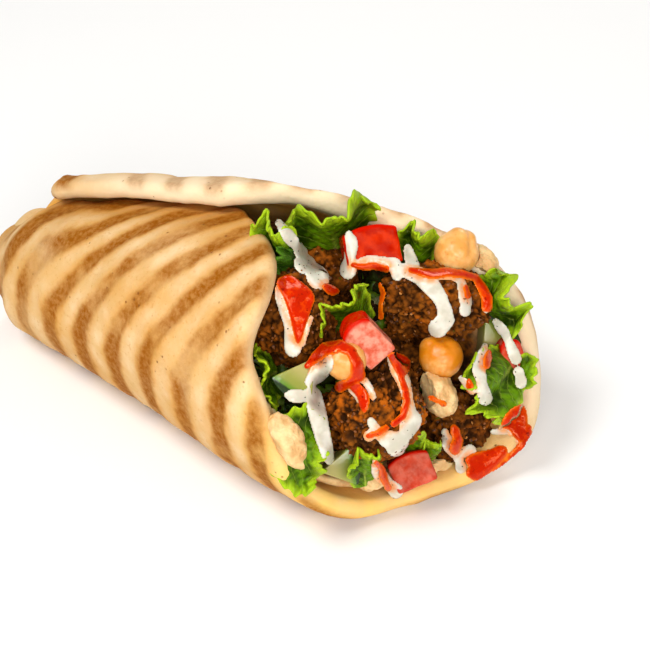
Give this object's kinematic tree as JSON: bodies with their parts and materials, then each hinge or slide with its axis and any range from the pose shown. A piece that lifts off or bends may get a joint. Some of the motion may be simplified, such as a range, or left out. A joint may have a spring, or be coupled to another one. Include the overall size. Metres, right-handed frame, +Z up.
{
  "type": "falafel wrap",
  "caption": "Grilled flatbread rolled into a short cone round falafel, lettuce, tomato, cucumber, chickpeas and hummus, lying on its side with the mouth open.",
  "frame": {"origin": "on the surface that the wrap lies on, under the middle of its box", "axes": "+X along the roll towards the open mouth, +Y to the far side of the roll, +Z up; the overlap of the bread is on top"},
  "size_m": [0.1952, 0.096, 0.088],
  "materials": {
    "bread": "matte baked crust with grill marks",
    "falafel": "rough fried crust",
    "chickpea": "satin skin",
    "tomato": "wet cut flesh and glossy skin",
    "cucumber": "wet cut flesh and dark green skin",
    "hummus": "soft satin paste",
    "lettuce": "satin leaf",
    "herb": "satin leaf",
    "salad": "moist chopped salad in shade"
  },
  "bodies": {
    "root": {"flatbread": "bread", "falafel_front": "falafel", "falafel_right": "falafel", "falafel_left": "falafel", "falafel_low": "falafel", "falafel_back": "falafel", "falafel_deep": "falafel", "chickpea_top": "chickpea", "chickpea_centre": "chickpea", "chickpea_right": "chickpea", "tomato_top": "tomato", "tomato_centre": "tomato", "tomato_low": "tomato", "tomato_right": "tomato", "cucumber_left": "cucumber", "cucumber_low": "cucumber", "cucumber_right": "cucumber", "hummus_right": "hummus", "hummus_left": "hummus", "hummus_low": "hummus", "hummus_top": "hummus", "hummus_spread": "hummus", "lettuce_top": "lettuce", "lettuce_top_left": "lettuce", "lettuce_top_right": "lettuce", "lettuce_right": "lettuce", "lettuce_side": "lettuce", "lettuce_front_right": "lettuce", "lettuce_centre": "lettuce", "lettuce_left": "lettuce", "lettuce_low_left": "lettuce", "lettuce_low": "lettuce", "lettuce_low_right": "lettuce", "lettuce_tip": "lettuce", "herb_leaf": "herb", "salad_core": "salad"}
  },
  "joints": []
}
